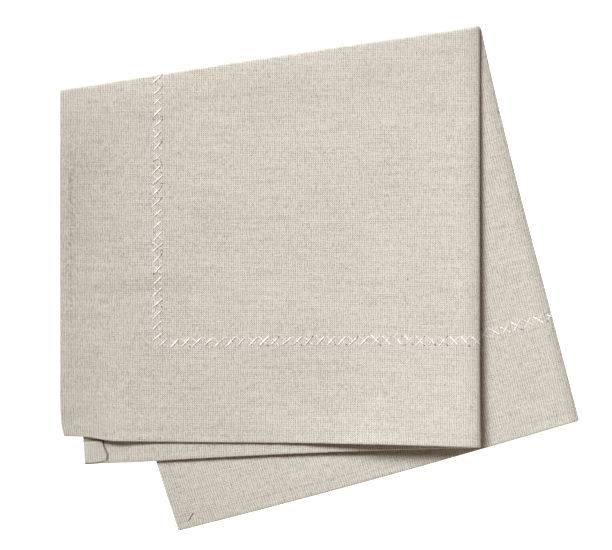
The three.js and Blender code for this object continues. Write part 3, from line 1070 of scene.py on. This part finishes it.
class NAPKIN_OT_make_cross_stitch(bpy.types.Operator):
    """Make the border of cross-stitches"""

    bl_idname = "napkin.make_cross_stitch"
    bl_label = "Make Cross-Stitch"
    bl_options = {"REGISTER", "UNDO"}

    def execute(self, context):
        stitch = context.scene.napkin_stitch
        starts, ends, on_top = self.strokes(stitch)
        draw = np.random.default_rng(SEED)
        count = len(starts)
        radius = stitch.embroidery_thread / MM / 2
        # Worn lengths of thread have sunk into the weave and look like it.
        share = np.linspace(0, 1, CROSS_RINGS)
        wear_and_painted_light = draw.uniform(0, 1, (count, WEAR_PLACES))
        wear_and_painted_light = np.array([np.interp(share, np.linspace(0, 1, WEAR_PLACES), each) for each in wear_and_painted_light])
        # The lower strokes keep less of the fresh tone: painted shade.
        fresh = smooth_step(wear_and_painted_light, *WEAR_SHOWN) * np.where(on_top, 1.0, LOWER_UNSHADED)[:, None]
        tone = lerp(*THREAD_TONES, fresh)
        # The ends go down needle holes; at some, mostly the upper ones, the end is painted dark as the
        # shade in an open hole.
        shaded_hole = draw.uniform(0, 1, (2, count, 1)) < np.array(HOLE_SHADE_ODDS)[:, None, None]
        hole_shade_tone = 1.0
        for is_shaded, from_end in zip(shaded_hole, (share, 1 - share)):
            hole_shade_tone = hole_shade_tone - HOLE_SHADE * is_shaded * np.exp(-(from_end / HOLE_SHADE_SHARE) ** 2)
        look = {
            "side": 1.0,
            "surface": context.scene.napkin_cloth.thickness / MM / 2,
            "radius": radius * np.where(on_top, 1.0, LOWER_RADIUS) * draw.uniform(*UNEVEN["radius"], count),
            "rise": np.where(on_top, UPPER_RISE, LOWER_RISE) + draw.uniform(*UNEVEN["rise"], count),
            "dip": 0.0,
            "tone": tone * hole_shade_tone * draw.uniform(*UNEVEN["tone"], (count, CROSS_RINGS)),
            "lumps": draw.uniform(*UNEVEN["lumps"], (count, CROSS_RINGS)),
            "rings": CROSS_RINGS,
            "sides": 8,
        }
        thread = twisted_thread(
            "cotton embroidery thread, spun in two plies", stitch.embroidery_colour, 0.55, 0.2)
        made = thread_object("cross_stitch_border", starts, ends, look, thread)
        return {"FINISHED"}

    def strokes(self, stitch):
        """Flat ends of every stroke, two for each cross, and whether it is the upper one."""
        draw = np.random.default_rng(SEED)
        starts = []
        ends = []
        on_top = []
        for side in range(4):
            corner = np.array(BORDER[side])
            run = np.array(BORDER[(side + 1) % 4]) - corner
            length = np.linalg.norm(run)
            way = run / length
            out = np.array([way[1], -way[0]]) * stitch.cross_width / MM / 2
            crosses = round(length / (stitch.cross_pitch / MM))
            holes = corner + run * (np.arange(crosses + 1) / crosses)[:, None]
            for here, there in zip(holes[:-1], holes[1:]):
                short = (there - here) * STROKE_INSET
                rising = (here + short - out, there - short + out)
                falling = (here + short + out, there - short - out)
                if rising[0][0] > rising[1][0]:
                    rising = rising[::-1]
                if (rising[1] - rising[0])[0] * (rising[1] - rising[0])[1] < 0:
                    rising, falling = falling, rising
                long_row = side % 2 == 0
                rising_on_top = not (long_row and here[0] > SLANT_CHANGE)
                for ends_of, is_rising in ((rising, True), (falling, False)):
                    jitter = draw.normal(0, STROKE_JITTER, (2, 2))
                    starts.append(ends_of[0] + jitter[0])
                    ends.append(ends_of[1] + jitter[1])
                    on_top.append(is_rising == rising_on_top)
        return np.array(starts), np.array(ends), np.array(on_top)


class NAPKIN_OT_make_hem_stitch(bpy.types.Operator):
    """Make the stitching that holds the hem, on both sides of the cloth"""

    bl_idname = "napkin.make_hem_stitch"
    bl_label = "Make Hem Stitching"
    bl_options = {"REGISTER", "UNDO"}

    def execute(self, context):
        stitch = context.scene.napkin_stitch
        cloth = context.scene.napkin_cloth
        draw = np.random.default_rng(SEED)
        line = HALF_SIDE - stitch.hem_inset / MM
        count = round(2 * line / (stitch.hem_pitch / MM))
        holes = np.linspace(-line, line, count + 1)
        starts = []
        ends = []
        side = []
        for across, sign in ((0, -1), (0, 1), (1, -1), (1, 1)):
            for way in (1, -1):
                begin = holes[:-1] if way > 0 else holes[:-1] + 0.5 * stitch.hem_pitch / MM
                for hole in begin:
                    reach = stitch.hem_pitch / MM * draw.uniform(*HEM_REACHES)
                    wander = draw.normal(0, HEM_WANDER, 2)
                    ends_of = np.zeros((2, 2))
                    ends_of[:, across] = sign * line + wander
                    ends_of[:, 1 - across] = (hole + HEM_START, hole + HEM_START + reach)
                    starts.append(ends_of[0])
                    ends.append(ends_of[1])
                    side.append(way)
        starts.append(np.array(CORNER_THREAD[0]))
        ends.append(np.array(CORNER_THREAD[1]))
        side.append(1)
        side = np.array(side, float)
        tone = draw.uniform(*HEM_TONES, (len(side), 1))
        tone[-1] = CORNER_TONE
        radius = np.full(len(side), stitch.hem_thread / MM / 2)
        radius[-1] *= CORNER_RADIUS
        half = cloth.thickness / MM / 2
        look = {
            "side": side,
            "surface": np.where(
                side > 0, half - FACE_GROOVE, half + cloth.hem_thickness / MM - WRONG_GROOVE),
            "radius": radius,
            "rise": 0.1,
            "dip": 0.3,
            "tone": tone,
            "lumps": 1.0,
            "rings": 6,
            "sides": 6,
        }
        thread = twisted_thread("cotton sewing thread, spun in two plies", stitch.hem_colour, 0.7, 0.1)
        made = thread_object("hem_stitching", np.array(starts), np.array(ends), look, thread)
        return {"FINISHED"}


class NAPKIN_OT_make_stage(bpy.types.Operator):
    """Make the floor, the light and the camera that looks straight down"""

    bl_idname = "napkin.make_stage"
    bl_label = "Make Stage"
    bl_options = {"REGISTER", "UNDO"}

    def execute(self, context):
        stage = context.scene.napkin_stage
        half = stage.floor_side / 2
        floor_mesh = bpy.data.meshes.new("floor")
        floor_mesh.from_pydata(
            [(-half, -half, 0), (half, -half, 0), (half, half, 0), (-half, half, 0)], [], [(0, 1, 2, 3)])
        floor_mesh.materials.append(painted_floor(stage.floor_colour))
        floor = bpy.data.objects.new("floor", floor_mesh)
        context.collection.objects.link(floor)

        key_data = bpy.data.lights.new("key_light", "AREA")
        key_data.shape = "DISK"
        key_data.size = stage.key_size
        key_data.energy = stage.key_power
        key_data.color = KEY_COLOUR
        key_data.spread = stage.key_spread
        key = bpy.data.objects.new("key_light", key_data)
        level = math.cos(stage.key_elevation)
        way = Vector((
            level * math.sin(stage.key_azimuth), -level * math.cos(stage.key_azimuth),
            -math.sin(stage.key_elevation)))
        key.location = Vector(KEY_AIM) - way * stage.key_distance
        key.rotation_euler = way.to_track_quat("-Z", "Y").to_euler()
        context.collection.objects.link(key)

        world = bpy.data.worlds.new("studio")
        world.use_nodes = True
        background = world.node_tree.nodes["Background"]
        background.inputs["Color"].default_value = opaque(ROOM_COLOUR)
        background.inputs["Strength"].default_value = stage.sky_strength
        world.cycles.sampling_method = "NONE"
        context.scene.world = world

        lens = bpy.data.cameras.new("camera")
        lens.sensor_width = 36.0
        lens.lens = lens.sensor_width * stage.camera_height / stage.view_width
        camera = bpy.data.objects.new("camera", lens)
        camera.location = Vector(CAMERA_AIM) * MM + Vector((0, 0, stage.camera_height))
        context.collection.objects.link(camera)
        context.scene.camera = camera
        context.scene.view_settings.view_transform = "Standard"
        return {"FINISHED"}


class VIEW3D_PT_napkin(bpy.types.Panel):
    """Settings and makers of the napkin"""

    bl_label = "Folded Napkin"
    bl_space_type = "VIEW_3D"
    bl_region_type = "UI"
    bl_category = "Napkin"

    def draw(self, context):
        for settings in ("napkin_cloth", "napkin_stitch", "napkin_stage"):
            group = getattr(context.scene, settings)
            box = self.layout.box()
            for name in group.__annotations__:
                box.prop(group, name)
        for operator in MAKERS:
            self.layout.operator(operator.bl_idname)


MAKERS = (
    NAPKIN_OT_make_cloth,
    NAPKIN_OT_make_cross_stitch,
    NAPKIN_OT_make_hem_stitch,
    NAPKIN_OT_make_stage,
)
GROUPS = {
    "napkin_cloth": NapkinClothSettings,
    "napkin_stitch": NapkinStitchSettings,
    "napkin_stage": NapkinStageSettings,
}
CLASSES = (*GROUPS.values(), *MAKERS, VIEW3D_PT_napkin)


def register():
    for kind in CLASSES:
        bpy.utils.register_class(kind)
    for name, kind in GROUPS.items():
        setattr(bpy.types.Scene, name, bpy.props.PointerProperty(type=kind))


def unregister():
    for name in GROUPS:
        delattr(bpy.types.Scene, name)
    for kind in reversed(CLASSES):
        bpy.utils.unregister_class(kind)


def main():
    register()
    bpy.ops.napkin.make_cloth()
    bpy.ops.napkin.make_cross_stitch()
    bpy.ops.napkin.make_hem_stitch()
    bpy.ops.napkin.make_stage()


if __name__ == "__main__":
    main()
